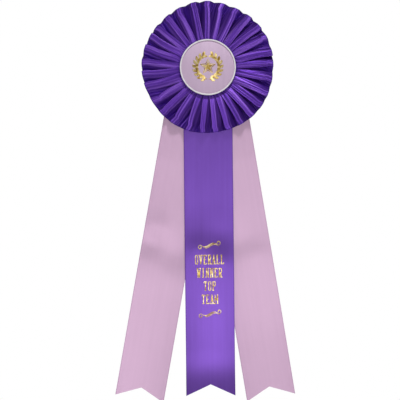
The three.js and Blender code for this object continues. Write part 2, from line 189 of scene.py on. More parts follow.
# a Wave node's slanting bands repeat along one axis every 2 pi / (10 scale)
def bandScale(spacing):
    return 2 * math.pi / (10 * spacing)


# Woven polyester satin. Long floats of filament yarn lie along the ribbon, so it shines in its
# own colour, and the shine spreads across the floats and is narrow along them. The UV map is in
# metres, U across the ribbon and V along it.
def satinMaterial(name, colours, look, edges=None):
    material, tree, shader = newMaterial(name, look["roughness"], look["gloss"])
    uv = addNode(tree, "ShaderNodeUVMap", {"uv_map": "UVMap"}, {}).outputs[0]
    stretched = addNode(tree, "ShaderNodeMapping", {}, {
        0: uv, "Scale": (*look["streaks"], 1.0)})
    streak = addNode(tree, "ShaderNodeTexNoise", {"noise_dimensions": "2D"}, {
        "Vector": stretched.outputs[0], "Scale": 1.0, "Detail": 3.0})
    # the streaks set the colour between deep and bright. On the pleated frill that range is wide
    # and paints shade in the creases and highlight on them; on the flat ribbons and the button it
    # is only a faint tone
    deep, face, bright = colours
    colour = blendColours(tree, streak.outputs[0], [(0.1, deep), (0.5, face), (0.9, bright)])
    if edges:
        colour = wovenEdge(tree, uv, colour, edges)
    # yarns are 0.1 mm apart; drawn 0.5 mm apart so that they show close up
    weave = addNode(tree, "ShaderNodeTexWave", {"bands_direction": "DIAGONAL"}, {
        "Vector": uv, "Scale": bandScale(0.5 * mm), "Distortion": 1.0, "Detail": 1.0})
    addBump(tree, shader, streak.outputs[0], look["creases"], 0.6 * mm)
    addBump(tree, shader, weave.outputs[1], 0.3, 0.03 * mm)
    tangent = addNode(tree, "ShaderNodeTangent", {"direction_type": "UV_MAP", "uv_map": "UVMap"},
                      {})
    tree.links.new(colour, shader.inputs["Base Color"])
    tree.links.new(tangent.outputs[0], shader.inputs["Tangent"])
    shader.inputs["Anisotropic"].default_value = look["anisotropic"]
    shader.inputs["Sheen Weight"].default_value = look["sheen"]
    shader.inputs["Sheen Roughness"].default_value = 0.5
    shader.inputs["Sheen Tint"].default_value = linear(bright)
    return material


# the selvedge: tighter weave that looks darker, where U is within width of either edge. It comes
# in over the first two fifths of that width.
def wovenEdge(tree, uv, colour, edges):
    middle, half, width, edgeColour = edges
    place = addNode(tree, "ShaderNodeSeparateXYZ", {}, {0: uv}).outputs[0]
    fromMiddle = addNode(tree, "ShaderNodeMath", {"operation": "SUBTRACT"}, {0: place, 1: middle})
    away = addNode(tree, "ShaderNodeMath", {"operation": "ABSOLUTE"}, {0: fromMiddle.outputs[0]})
    amount = addNode(tree, "ShaderNodeMapRange", {}, {
        0: away.outputs[0], 1: half - width, 2: half - 0.6 * width})
    mix = addNode(tree, "ShaderNodeMix", {"data_type": "RGBA"}, {
        0: amount.outputs[0], 6: colour, 7: linear(edgeColour)})
    return mix.outputs[2]


# Hot-stamped foil: a metallised film pressed into the weave, bright but a little uneven. The
# paler and darker patches are about 3 mm across and the grain 0.6 mm.
def foilMaterial():
    material, tree, shader = newMaterial("hot-stamped gold foil", 0.42, 1.0)
    place = addNode(tree, "ShaderNodeTexCoord", {}, {}).outputs["Object"]
    patch = addNode(tree, "ShaderNodeTexNoise", {}, {
        "Vector": place, "Scale": 300.0, "Detail": 2.0}).outputs[0]
    grain = addNode(tree, "ShaderNodeTexNoise", {}, {
        "Vector": place, "Scale": 1800.0, "Detail": 1.0}).outputs[0]
    colour = blendColours(tree, patch, [(0.35, "#8c7038"), (0.5, "#c9ac68"), (0.65, "#e4d29c")])
    tree.links.new(colour, shader.inputs["Base Color"])
    addBump(tree, shader, grain, 0.5, 0.08 * mm)
    return material


# Injection-moulded white polystyrene: semi-gloss, with a faint ripple about 3 mm across.
def plasticMaterial():
    material, tree, shader = newMaterial("moulded white polystyrene", 0.35, ior=1.59)
    place = addNode(tree, "ShaderNodeTexCoord", {}, {}).outputs["Object"]
    ripple = addNode(tree, "ShaderNodeTexNoise", {}, {
        "Vector": place, "Scale": 300.0, "Detail": 2.0}).outputs[0]
    colour = blendColours(tree, ripple, [(0.3, "#d8d3d8"), (0.7, "#e6e2e6")])
    tree.links.new(colour, shader.inputs["Base Color"])
    addBump(tree, shader, ripple, 0.05, 0.1 * mm)
    return material


# Uncoated pulp card: matt off-white with short fibres, drawn about 1 mm long.
def cardMaterial():
    material, tree, shader = newMaterial("uncoated pulp card", 0.85)
    place = addNode(tree, "ShaderNodeTexCoord", {}, {}).outputs["Object"]
    fibre = addNode(tree, "ShaderNodeTexNoise", {}, {
        "Vector": place, "Scale": 900.0, "Detail": 4.0, "Distortion": 1.5}).outputs[0]
    colour = blendColours(tree, fibre, [(0.3, "#d6d0c4"), (0.5, "#e6e1d7"), (0.7, "#efece4")])
    tree.links.new(colour, shader.inputs["Base Color"])
    addBump(tree, shader, fibre, 0.3, 0.06 * mm)
    return material


# Closed-cell polyethylene foam tape: matt white, cells about half a millimetre across.
def foamMaterial():
    material, tree, shader = newMaterial("closed-cell foam tape", 0.9)
    place = addNode(tree, "ShaderNodeTexCoord", {}, {}).outputs["Object"]
    cells = addNode(tree, "ShaderNodeTexVoronoi", {}, {
        "Vector": place, "Scale": 1 / (0.5 * mm)}).outputs[0]
    colour = blendColours(tree, cells, [(0.0, "#dadad5"), (0.7, "#f2f2ee")])
    tree.links.new(colour, shader.inputs["Base Color"])
    addBump(tree, shader, cells, 0.4, 0.1 * mm)
    return material


# Spun polyester sewing thread: matt, its twist showing as slanting bands 0.6 mm apart.
def threadMaterial():
    material, tree, shader = newMaterial("spun polyester thread", 0.7)
    uv = addNode(tree, "ShaderNodeUVMap", {"uv_map": "UVMap"}, {}).outputs[0]
    twist = addNode(tree, "ShaderNodeTexWave", {"bands_direction": "DIAGONAL"}, {
        "Vector": uv, "Scale": bandScale(0.6 * mm)}).outputs[1]
    colour = blendColours(tree, twist, [(0.0, "#38205f"), (1.0, "#6b44a4")])
    tree.links.new(colour, shader.inputs["Base Color"])
    addBump(tree, shader, twist, 0.5, 0.05 * mm)
    return material


# Plated steel: bright, with fine draw marks and duller patches 4 mm across. scale is the marks'
# fineness on each axis in cycles a metre, so they run along the axis with the fewest.
def platedMaterial(name, colours, roughness, scale):
    material, tree, shader = newMaterial(name, roughness, 1.0)
    place = addNode(tree, "ShaderNodeTexCoord", {}, {}).outputs["Object"]
    drawn = addNode(tree, "ShaderNodeMapping", {}, {0: place, "Scale": scale}).outputs[0]
    marks = addNode(tree, "ShaderNodeTexNoise", {}, {
        "Vector": drawn, "Scale": 1.0, "Detail": 3.0}).outputs[0]
    patch = addNode(tree, "ShaderNodeTexNoise", {}, {
        "Vector": place, "Scale": 250.0, "Detail": 2.0}).outputs[0]
    colour = blendColours(tree, patch, [(0.3, colours[0]), (0.7, colours[1])])
    rough = addNode(tree, "ShaderNodeMapRange", {}, {
        0: marks, 3: roughness - 0.07, 4: roughness + 0.1}).outputs[0]
    tree.links.new(colour, shader.inputs["Base Color"])
    tree.links.new(rough, shader.inputs["Roughness"])
    addBump(tree, shader, marks, 0.15, 0.03 * mm)
    return material


purpleColours = ("#744caf", "#774eb4", "#7a51b8")
lilacColours = ("#cca9c6", "#ceabc8", "#d0adca")
# gloss is how much of the shine has the cloth's own colour, creases the strength of the bump that
# goes with the streaks, and streaks their fineness across and along, in cycles a metre
purpleLook = {"roughness": 0.42, "gloss": 0.75, "anisotropic": 0.6, "sheen": 0.03,
              "creases": 0.01, "streaks": (300.0, 9.0)}
lilacLook = {"roughness": 0.46, "gloss": 0.4, "anisotropic": 0.5, "sheen": 0.05,
             "creases": 0.01, "streaks": (300.0, 9.0)}
buttonLook = {"roughness": 0.6, "gloss": 0.1, "anisotropic": 0.3, "sheen": 0.05,
              "creases": 0.01, "streaks": (300.0, 30.0)}
pleatLook = {**purpleLook, "roughness": 0.47, "creases": 1.0, "streaks": (12.0, 500.0)}

goldFoil = foilMaterial()
whitePlastic = plasticMaterial()
pulpCard = cardMaterial()
foamTape = foamMaterial()
sewingThread = threadMaterial()
nickelSteel = platedMaterial("nickel-plated stamped steel", ("#a9adb1", "#d6d9db"), 0.24,
                             (80.0, 1500.0, 1500.0))
stapleWire = platedMaterial("galvanised drawn wire", ("#8f949a", "#b8bcc1"), 0.36,
                            (1500.0, 1500.0, 90.0))
print("materials made")


frill = {
    "pleats": 29,
    "ribbonPerPleat": 20.4 * mm,  # ribbon taken up by one pleat
    "riseShare": 0.38,  # share of it in the rising face
    "topShare": 0.24,  # in the face on top; the rest is the steep fall
    "topSlope": 6.0,  # degrees that the top face rises
    "crease": 0.015,  # sharpness of a crease, as a share of the pleat
    "creaseSpan": 0.055,  # half of the stretch that gets close samples
    "innerRadius": 15.4 * mm,
    "outerRadius": 68.0 * mm,
    "pressedHeight": 1.5 * mm,  # height of the pleats where the button presses them
    "rimHeight": 1.9 * mm,  # at the button's edge
    "edgeHeight": 6.4 * mm,  # and at the outer edge
    "openingCurve": 0.45,  # power of the way out; under 1 the pleats open at once past the button
    "uprightLimit": 0.995,  # a pleat stands at most to this share of its own height
    "unevenWidth": 0.17,
    "unevenLean": 8.0,  # degrees
    "unevenFold": 0.028,  # how far a fold strays, as a share of the pleat
    "unevenHeight": 0.06,
    "wander": 0.5 * mm,  # the outer edge goes in and out by this
    "wanderLobes": 5,  # so many times round
    "wanderTurn": 1.0,  # radians
    "scallop": 0.08,  # further out for its height, so the edge is scalloped
    "scallopBack": 0.4 * mm,  # less this all round
    "rearGap": 0.3 * mm,
    "falls": (30, 179, 120),  # the falling face is tried from and to these degrees, so many times
    "faceSteps": 4,
    "creaseSteps": 6,
    "valleySteps": 4,  # on each side of a valley
    "rings": 46,
    "cloth": 0.24 * mm,
    "selvedge": 1.0 * mm,
    "seed": 7,
}


# where the ribbon is sampled along one pleat, from valley to valley, closer at the creases
def pleatPlaces(p):
    near = p["creaseSpan"]
    folds = [p["riseShare"], p["riseShare"] + p["topShare"]]
    starts = [near, folds[0] + near, folds[1] + near]
    ends = [folds[0] - near, folds[1] - near, 1 - near]
    faces = [np.linspace(a, b, p["faceSteps"], endpoint=False) for a, b in zip(starts, ends)]
    creases = [np.linspace(fold - near, fold + near, p["creaseSteps"], endpoint=False)
               for fold in folds]
    first = np.linspace(0, near, p["valleySteps"], endpoint=False)
    last = np.linspace(1 - near, 1, p["valleySteps"] + 1)
    return np.concatenate([first, faces[0], creases[0], faces[1], creases[1], faces[2], last])


# the rising and the top face together climb as far as the falling face drops
def pleatRise(fall, p):
    fallShare = 1 - p["riseShare"] - p["topShare"]
    top = np.radians(p["topSlope"]) * np.sin(fall)
    climb = (fallShare * np.sin(fall) - p["topShare"] * np.sin(top)) / p["riseShare"]
    return np.arcsin(np.clip(climb, 0, 1)), top


# slope of the ribbon: it rises, is nearly level over the top face, and falls; each change of
# slope is a tanh step as wide as the crease
def pleatSlope(fall, places, p, stray=(0.0, 0.0)):
    rise, top = pleatRise(fall, p)
    steps = [(0.0, rise + fall), (1.0, rise + fall), (p["riseShare"] + stray[0], top - rise),
             (p["riseShare"] + p["topShare"] + stray[1], -top - fall)]
    slope = -fall + 0 * places
    for place, change in steps:
        slope = slope + change * (0.5 + 0.5 * np.tanh((places - place) / p["crease"]))
    return slope


# the ribbon keeps its length, so the narrower the pitch the further the falling face turns
# under. x and h are the running sums of the cosine and the sine of the slope.
def pleatProfile(pitch, places, stray, p):
    falls = np.radians(np.linspace(*p["falls"]))
    share = pitch / p["ribbonPerPleat"]
    steps = np.diff(places)
    between = (places[1:] + places[:-1]) / 2
    widths = (np.cos(pleatSlope(falls[:, None], between, p)) * steps).sum(axis=1)
    fall = np.interp(share, widths[::-1], falls[::-1])[..., None]
    slope = pleatSlope(fall, between, p, stray)
    x = np.cumsum(np.cos(slope) * steps, axis=-1)
    h = np.cumsum(np.sin(slope) * steps, axis=-1)
    h = h - h[..., -1:] * places[1:]
    x = x * share[..., None] / x[..., -1:]
    start = np.zeros(x.shape[:-1] + (1,))
    x = np.concatenate([start, x[..., :-1]], axis=-1)
    h = np.concatenate([start, h[..., :-1]], axis=-1)
    return x * p["ribbonPerPleat"], h * p["ribbonPerPleat"]


# angle is the pleat's start plus x over the radius and depth is h, after each profile is laid
# over just far enough to bring it to the height for that radius. That height grows with the cube
# of the way out under the button, and with a power of it past the button. The middle of the top
# face is kept on one radius.
def frillPoints(p):
    random = np.random.default_rng(p["seed"])
    places = pleatPlaces(p)
    shares = 1 + p["unevenWidth"] * random.uniform(-1, 1, p["pleats"])
    widths = 2 * np.pi * shares / shares.sum()
    starts = np.cumsum(widths) - widths
    radii = clothSteps(p["innerRadius"], p["outerRadius"], p["rings"])
    stray = p["unevenFold"] * random.uniform(-1, 1, (2, p["pleats"], 1))
    x, h = pleatProfile(radii[:, None] * widths, places, stray, p)

    under = np.clip((radii - p["innerRadius"]) / (rimRadius - p["innerRadius"]), 0, 1)
    outward = np.clip((radii - rimRadius) / (p["outerRadius"] - rimRadius), 0, 1)
    target = p["pressedHeight"] + (p["rimHeight"] - p["pressedHeight"]) * under ** 3
    target = target + (p["edgeHeight"] - p["rimHeight"]) * outward ** p["openingCurve"]
    lean = np.arccos(np.clip(target[:, None] / h.max(axis=-1), 0, p["uprightLimit"]))
    uneven = np.radians(p["unevenLean"]) * random.uniform(-1, 1, p["pleats"])
    lean = (lean + uneven * outward[:, None])[..., None]
    x, h = x + h * np.sin(lean), h * np.cos(lean)

    topMiddle = np.searchsorted(places, p["riseShare"] + p["topShare"] / 2)
    phase = x[..., topMiddle].mean(axis=1)[:, None, None]
    angle = starts[:, None] + (x - phase) / radii[:, None, None]
    taller = 1 + p["unevenHeight"] * random.uniform(-1, 1, p["pleats"]) * outward[:, None]
    depth = np.maximum(h, 0) * taller[..., None]
    far = outward[:, None, None]
    wave = np.cos(p["wanderLobes"] * angle + p["wanderTurn"])
    reach = radii[:, None, None] + p["wander"] * far * wave
    reach = reach + (p["scallop"] * depth - p["scallopBack"]) * far ** 2
    rear = frillRear - p["rearGap"]
    points = np.stack([rosetteX + reach * np.sin(angle), rear - depth,
                       rosetteZ + reach * np.cos(angle)], axis=-1)
    along = (np.arange(p["pleats"])[:, None] + places[:-1]).ravel() * p["ribbonPerPleat"]
    along = np.append(along, p["pleats"] * p["ribbonPerPleat"])
    uv = np.stack(np.broadcast_arrays(radii[:, None], along), axis=-1)
    return points.reshape(p["rings"], -1, 3), uv


def makeFrill(p):
    middle = (p["innerRadius"] + p["outerRadius"]) / 2
    half = (p["outerRadius"] - p["innerRadius"]) / 2
    # ironing leaves faint creases across the ribbon, under 1 mm apart; drawn 2 mm apart so that
    # they show. The bump follows them. The colours are all darker than the streamers' purple and
    # run from deep to bright along the streaks, which is painted shade of the pleats and painted
    # highlight on their creases
    satin = satinMaterial("woven purple satin, ironed into pleats",
                          ("#2a1066", "#5b309f", "#9a6adb"), pleatLook,
                          (middle, half, p["selvedge"], "#47208c"))
    points, uv = frillPoints(p)
    piece = gridObject("frill_cloth", points, uv, closeV=True)
    thicken(piece, p["cloth"])
    dress(piece, satin, ["frill"], "rosette")


makeFrill(frill)
print("frill made")


stitching = {
    "stitches": 40,
    "thread": 0.3 * mm,  # its radius
    "travel": 0.35 * mm,  # from its furthest in to its furthest out
    "sides": 8,
    "samplesPerStitch": 12,
}


# a tube whose middle line goes round the collar and dips in and out as a cosine
def makeStitching(p):
    low, high = span("frill_stitching")
    radius = (high[0] - low[0]) / 2 - p["thread"]
    count = p["stitches"] * p["samplesPerStitch"]
    turn = np.linspace(0, 2 * np.pi, count + 1)
    side = np.linspace(0, 2 * np.pi, p["sides"] + 1)
    turnGrid, sideGrid = np.meshgrid(turn[:-1], side[:-1], indexing="ij")
    depth = (low[1] + high[1]) / 2 + p["travel"] / 2 * np.cos(p["stitches"] * turnGrid)
    out = radius + p["thread"] * np.cos(sideGrid)
    points = np.stack([rosetteX + out * np.sin(turnGrid), depth + p["thread"] * np.sin(sideGrid),
                       rosetteZ + out * np.cos(turnGrid)], axis=-1)
    uv = np.stack(np.meshgrid(turn * radius, side * p["thread"], indexing="ij"), axis=-1)
    piece = gridObject("frill_thread", points, uv, closeU=True, closeV=True)
    dress(piece, sewingThread, ["frill_stitching"], "rosette")


makeStitching(stitching)
print("stitching made")


button = {
    "dome": 4.4 * mm,  # the middle stands this far in front of the edge
    "tuck": 0.4 * mm,  # the satin goes this far under the lip
    "satin": 0.35 * mm,  # its thickness
    "samples": 81,
    "rimWall": 0.8 * mm,
    "rimLip": 1.5 * mm,
    "rimLipThickness": 0.9 * mm,
    "rounding": 0.3 * mm,
    "roundingSteps": 6,
    "rimSegments": 192,
}


# depth of the satin's front: a parabola that stands furthest forward in the middle
def buttonFront(x, z):
    edge = span("button_face")[0][1]
    radius = rimRadius - button["rimLip"]
    share = np.clip((x ** 2 + z ** 2) / radius ** 2, 0, 1)
    return edge - button["dome"] * (1 - share)


# a square grid pushed out to a disc: x = u sqrt(1 - v^2/2), z = v sqrt(1 - u^2/2)
def makeButtonFace(p):
    radius = rimRadius - p["rimLip"] + p["tuck"]
    line = np.linspace(-1, 1, p["samples"])
    u, v = np.meshgrid(line, line, indexing="ij")
    x = radius * u * np.sqrt(1 - v ** 2 / 2)
    z = radius * v * np.sqrt(1 - u ** 2 / 2)
    points = np.stack([rosetteX + x, buttonFront(x, z) + p["satin"] / 2, rosetteZ + z], axis=-1)
    satin = satinMaterial("woven lilac satin, stretched over card",
                          ("#c4abc5", "#c8afc9", "#ccb3cd"), buttonLook)
    piece = gridObject("button_satin", points, np.stack([x, z], axis=-1))
    thicken(piece, p["satin"])
    dress(piece, satin, ["button_face"], "rosette")


# the rim's section, an L with every corner rounded, turned about the button's middle
def makeButtonRim(p):
    front, rear = rimLow[1], rimHigh[1]
    outer, wall, lip = rimRadius, rimRadius - p["rimWall"], rimRadius - p["rimLip"]
    back = front + p["rimLipThickness"]
    corners = np.array([[outer, front], [outer, rear], [wall, rear], [wall, back], [lip, back],
                        [lip, front]])
    before = np.roll(corners, 1, axis=0) - corners
    after = np.roll(corners, -1, axis=0) - corners
    before = before / np.linalg.norm(before, axis=1, keepdims=True)
    after = after / np.linalg.norm(after, axis=1, keepdims=True)
    bend = np.linspace(0, 1, p["roundingSteps"])[:, None, None]
    section = corners + p["rounding"] * (before * (1 - bend) ** 2 + after * bend ** 2)
    section = section.transpose(1, 0, 2).reshape(-1, 2)
    turn = np.linspace(0, 2 * np.pi, p["rimSegments"] + 1)
    radius, angle = np.meshgrid(section[:, 0], turn[:-1], indexing="ij")
    depth = np.broadcast_to(section[:, 1:], radius.shape)
    points = np.stack([rosetteX + radius * np.sin(angle), depth,
                       rosetteZ + radius * np.cos(angle)], axis=-1)
    along = np.arange(len(section) + 1) * mm
    uv = np.stack(np.meshgrid(along, turn * rimRadius, indexing="ij"), axis=-1)
    piece = gridObject("button_rim_moulding", points, uv, closeU=True, closeV=True)
    dress(piece, whitePlastic, ["button_rim"], "rosette")


makeButtonFace(button)
makeButtonRim(button)
print("button made")


foil = {
    "cell": 0.14 * mm,  # size of the mesh it is cut from
    "edgeMove": 0.8,  # most that an edge point moves to meet the outline, in cells
    "leastSlope": 0.25,  # keeps that move small where the distance hardly changes
    "film": 0.06 * mm,  # thickness
    "standOff": 0.05 * mm,  # gap to the cloth
    "stem": 1.2 * mm,  # a capital's thick bars
    "thin": 0.8 * mm,  # and its thin ones
    "serif": 0.8,  # half length of a serif, as a share of the stem
    "bowl": 1.2,  # a bowl's bar, as a share of the thin bars
    "bowlCorner": 0.9 * mm,
    "letterWidth": 3.7 * mm,
    "letterPitch": 4.43 * mm,
    "lines": ["OVERALL", "WINNER", "TOP", "TEAM"],
}


# distance to a straight bar from a to b, less than nothing inside it
def barDistance(x, z, a, b, width):
    ax, az = np.subtract(b, a)
    length = math.hypot(ax, az)
    ux, uz = ax / length, az / length
    dx, dz = x - (a[0] + b[0]) / 2, z - (a[1] + b[1]) / 2
    alongSide = np.abs(dx * ux + dz * uz) - length / 2
    acrossSide = np.abs(dx * uz - dz * ux) - width / 2
    outside = np.hypot(np.maximum(alongSide, 0), np.maximum(acrossSide, 0))
    return outside + np.minimum(np.maximum(alongSide, acrossSide), 0)


# distance to a band that follows a rectangle with rounded corners
def loopDistance(x, z, centre, size, corner, width):
    dx = np.abs(x - centre[0]) - (size[0] - width) / 2 + corner
    dz = np.abs(z - centre[1]) - (size[1] - width) / 2 + corner
    outside = np.hypot(np.maximum(dx, 0), np.maximum(dz, 0))
    return np.abs(outside + np.minimum(np.maximum(dx, dz), 0) - corner) - width / 2


# a stroke with round ends whose half width changes along its path of points
def strokeDistance(x, z, path, halfWidths):
    offsets = np.hypot(x[..., None] - path[:, 0], z[..., None] - path[:, 1]) - halfWidths
    return offsets.min(axis=-1)


# the bars of each capital on a square from -1 to 1: thick ones, then thin ones. The serifs are
# slabs centred on the listed feet. A loop has its centre, then its width as a share of the
# capital's and its height as a share of half the capital's.
capitals = {
    "A": {"thick": [((0, 1), (0.62, -1))], "thin": [((-0.62, -1), (0, 1)),
                                                    ((-0.4, -0.35), (0.4, -0.35))],
          "feet": [(-0.64, -1), (0.64, -1)]},
    "E": {"thick": [((-0.5, -1), (-0.5, 1))],
          "thin": [((-0.5, 1), (0.72, 1)), ((-0.5, 0), (0.4, 0)), ((-0.5, -1), (0.72, -1)),
                   ((0.72, 1), (0.72, 0.7)), ((0.72, -1), (0.72, -0.7))],
          "feet": [(-0.55, 1), (-0.55, -1)]},
    "I": {"thick": [((0, -1), (0, 1))], "thin": [], "feet": [(0, 1), (0, -1)]},
    "L": {"thick": [((-0.45, -1), (-0.45, 1))],
          "thin": [((-0.45, -1), (0.72, -1)), ((0.72, -1), (0.72, -0.6))],
          "feet": [(-0.45, 1), (-0.45, -1)]},
    "M": {"thick": [((0.72, -1), (0.72, 1))],
          "thin": [((-0.72, -1), (-0.72, 1)), ((-0.72, 1), (0, -0.35)), ((0, -0.35), (0.72, 1))],
          "feet": [(-0.72, -1), (0.72, -1)]},
    "N": {"thick": [((-0.62, 1), (0.62, -1))],
          "thin": [((-0.62, -1), (-0.62, 1)), ((0.62, -1), (0.62, 1))],
          "feet": [(-0.62, -1), (0.62, 1)]},
    "O": {"thick": [], "thin": [], "feet": [], "loop": ((0, 0), (0.9, 2.0))},
    "P": {"thick": [((-0.5, -1), (-0.5, 1))], "thin": [], "feet": [(-0.45, 1), (-0.45, -1)],
          "loop": ((0.1, 0.48), (0.84, 1.1))},
    "R": {"thick": [((-0.5, -1), (-0.5, 1)), ((0.1, 0), (0.62, -1))], "thin": [],
          "feet": [(-0.45, 1), (-0.45, -1), (0.72, -1)], "loop": ((0.1, 0.48), (0.84, 1.1))},
    "T": {"thick": [((0, -1), (0, 1))],
          "thin": [((-0.8, 1), (0.8, 1)), ((-0.8, 1), (-0.8, 0.66)), ((0.8, 1), (0.8, 0.66))],
          "feet": [(0, -1)]},
    "V": {"thick": [((-0.62, 1), (0, -1))], "thin": [((0, -1), (0.62, 1))],
          "feet": [(-0.64, 1), (0.64, 1)]},
    "W": {"thick": [((-0.8, 1), (-0.42, -1)), ((0.05, 0.6), (0.42, -1))],
          "thin": [((-0.42, -1), (0.05, 0.6)), ((0.42, -1), (0.8, 1))],
          "feet": [(-0.74, 1), (0.74, 1)]},
}


# a capital is the nearest of its bars, serifs and bowl, kept inside its height
def capitalDistance(x, z, letter, height, p):
    shape = capitals[letter]
    halfWidth, halfHeight = p["letterWidth"] / 2, height / 2
    inner = halfHeight - p["thin"] / 2

    def at(point, tall):
        return point[0] * halfWidth, point[1] * tall

    parts = [barDistance(x, z, at(a, halfHeight), at(b, halfHeight), p["stem"])
             for a, b in shape["thick"]]
    parts += [barDistance(x, z, at(a, inner), at(b, inner), p["thin"]) for a, b in shape["thin"]]
    serif = p["serif"] * p["stem"]
    for foot in shape["feet"]:
        across, up = at(foot, inner)
        parts.append(barDistance(x, z, (across - serif, up), (across + serif, up), p["thin"]))
    if "loop" in shape:
        centre, size = shape["loop"]
        parts.append(loopDistance(x, z, at(centre, halfHeight),
                                  (2 * size[0] * halfWidth, size[1] * halfHeight),
                                  p["bowlCorner"], p["thin"] * p["bowl"]))
    return np.maximum(np.min(parts, axis=0), np.abs(z) - halfHeight)


# a word is the nearest of its capitals, set at an even pitch about its middle
def lineDistance(x, z, word, height, p):
    middles = (np.arange(len(word)) - (len(word) - 1) / 2) * p["letterPitch"]
    parts = [capitalDistance(x - middle, z, letter, height, p)
             for letter, middle in zip(word, middles)]
    return np.min(parts, axis=0)


scroll = {
    "points": 110,
    "waveSpan": 0.74,  # of the ornament's width
    "waveHeight": 0.26,  # of its height, each way
    "waveEnds": 0.26,  # half width of the stroke at its ends, in mm
    "waveMiddle": 0.42,  # and what is added in the middle
    "besideFrom": 22,  # point of the wave where the fine line starts
    "besideWidth": 0.6,  # of the wave's
    "beside": [0.7 * mm, -1.25 * mm],
    "curlPoints": 80,
    "curlRadius": 0.33,  # of the ornament's height
    "curlTurn": 1.6 * np.pi,
    "curlShrink": 0.12,  # share of its radius lost in each radian
    "curlWidths": (0.36, 0.5),  # half widths in mm, at its start and its end
}


# an ornament: a sine wave that thins to its ends with a fine line beside it, and each end curled
# into a spiral
def scrollDistance(x, z, width, height, p):
    turn = np.linspace(0, 1, p["points"])
    wave = np.stack([(turn - 0.5) * width * p["waveSpan"],
                     -p["waveHeight"] * height * np.sin(2 * np.pi * turn)], axis=-1)
    curlTurn = np.linspace(0, p["curlTurn"], p["curlPoints"])
    radius = p["curlRadius"] * height * (1 - p["curlShrink"] * curlTurn)
    curl = np.stack([width * p["waveSpan"] / 2 + radius * np.sin(curlTurn),
                     radius[0] - radius * np.cos(curlTurn)], axis=-1)
    thick = (p["waveEnds"] + p["waveMiddle"] * np.sin(np.pi * turn) ** 2) * mm
    thin = np.linspace(*p["curlWidths"], len(curl)) * mm
    first = p["besideFrom"]
    parts = [strokeDistance(x, z, wave, thick),
             strokeDistance(x, z, wave[first:] + p["beside"], p["besideWidth"] * thick[first:]),
             strokeDistance(x, z, curl, thin), strokeDistance(x, z, -curl, thin)]
    return np.min(parts, axis=0)


# cuts the shape where distance is under nothing out of a square mesh. The edge's points are
# moved by their distance along its gradient, so that they lie on the outline, then every point
# is laid on its surface by the function place.
def stampedObject(name, distance, halfWidth, halfHeight, place, p):
    cell = p["cell"]
    x, z = np.meshgrid(np.arange(-halfWidth, halfWidth + cell, cell),
                       np.arange(-halfHeight, halfHeight + cell, cell), indexing="ij")
    away = distance(x, z)
    centres = (away[:-1, :-1] + away[1:, :-1] + away[1:, 1:] + away[:-1, 1:]) / 4
    kept = centres < 0
    used = np.zeros(x.shape, int)
    for i, j in ((0, 0), (1, 0), (1, 1), (0, 1)):
        used[i:i + kept.shape[0], j:j + kept.shape[1]] += kept
    slopeX, slopeZ = np.gradient(away, cell)
    steep = np.maximum(slopeX ** 2 + slopeZ ** 2, p["leastSlope"])
    onEdge = (used > 0) & (used < 4)
    most = p["edgeMove"] * cell
    move = np.clip(away, -most, most) * onEdge / steep
    x, z = x - move * slopeX, z - move * slopeZ
    number = (np.cumsum(used.ravel() > 0) - 1).reshape(x.shape)
    quads = np.stack([number[:-1, :-1], number[1:, :-1], number[1:, 1:], number[:-1, 1:]],
                     axis=-1)[kept]
    points = place(x[used > 0], z[used > 0])
    flat = np.stack([x[used > 0], z[used > 0]], axis=-1)
    piece = meshObject(name, points, quads, flat[quads].reshape(-1, 2))
    thicken(piece, p["film"])
    return piece


# lays flat points in front of the button's satin, by the gap and half the film
def onButton(x, z):
    lift = foil["standOff"] + foil["film"] / 2
    return np.stack([rosetteX + x, buttonFront(x, z) - lift, rosetteZ + z], axis=-1)


emblem = {
    "starRadius": 8.6 * mm,
    "starWaist": 0.47,  # radius of its inner corners, as a share of the points'
    "starOutline": 0.75 * mm,
    "starGap": 0.45 * mm,
    "wreathRadius": 12.6 * mm,
    "stem": 0.4 * mm,  # its half width
    "leaves": 9,  # pairs on each half
    "leafLength": 5.2 * mm,
    "leafWidth": 2.8 * mm,
    "leafTilt": 0.62,  # radians away from the stem
    "opening": 24.0,  # degrees from the top to the wreath's end
    "lastLeaf": 2.0,  # degrees before the end
    "firstLeaf": 168.0,  # degrees from the top
    "foot": 5.0,  # degrees from the bottom to the stem's foot
    "halfGap": 0.4 * mm,  # each half keeps this far from the middle
}


# distance to a polygon: the nearest edge, and under nothing where an odd number of edges is
# crossed by a line to the right
def polygonDistance(x, z, corners):
    nearest = np.full(x.shape, np.inf)
    inside = np.zeros(x.shape, bool)
    for a, b in zip(corners, np.roll(corners, -1, axis=0)):
        edge = b - a
        share = np.clip(((x - a[0]) * edge[0] + (z - a[1]) * edge[1]) / (edge @ edge), 0, 1)
        nearest = np.minimum(nearest, np.hypot(x - a[0] - share * edge[0],
                                               z - a[1] - share * edge[1]))
        crosses = (a[1] > z) != (b[1] > z)
        height = np.where(b[1] == a[1], 1.0, b[1] - a[1])
        inside ^= crosses & (x < a[0] + (z - a[1]) * edge[0] / height)
    return np.where(inside, -nearest, nearest)


# an outlined star with a smaller solid one inside it
def starDistance(x, z, p):
    turn = np.arange(10) * np.pi / 5
    reach = p["starRadius"] * np.where(np.arange(10) % 2, p["starWaist"], 1.0)
    corners = np.stack([reach * np.sin(turn), reach * np.cos(turn)], axis=-1)
    away = polygonDistance(x, z, corners)
    outline = np.maximum(away, -away - p["starOutline"])
    return np.minimum(outline, away + p["starOutline"] + p["starGap"])


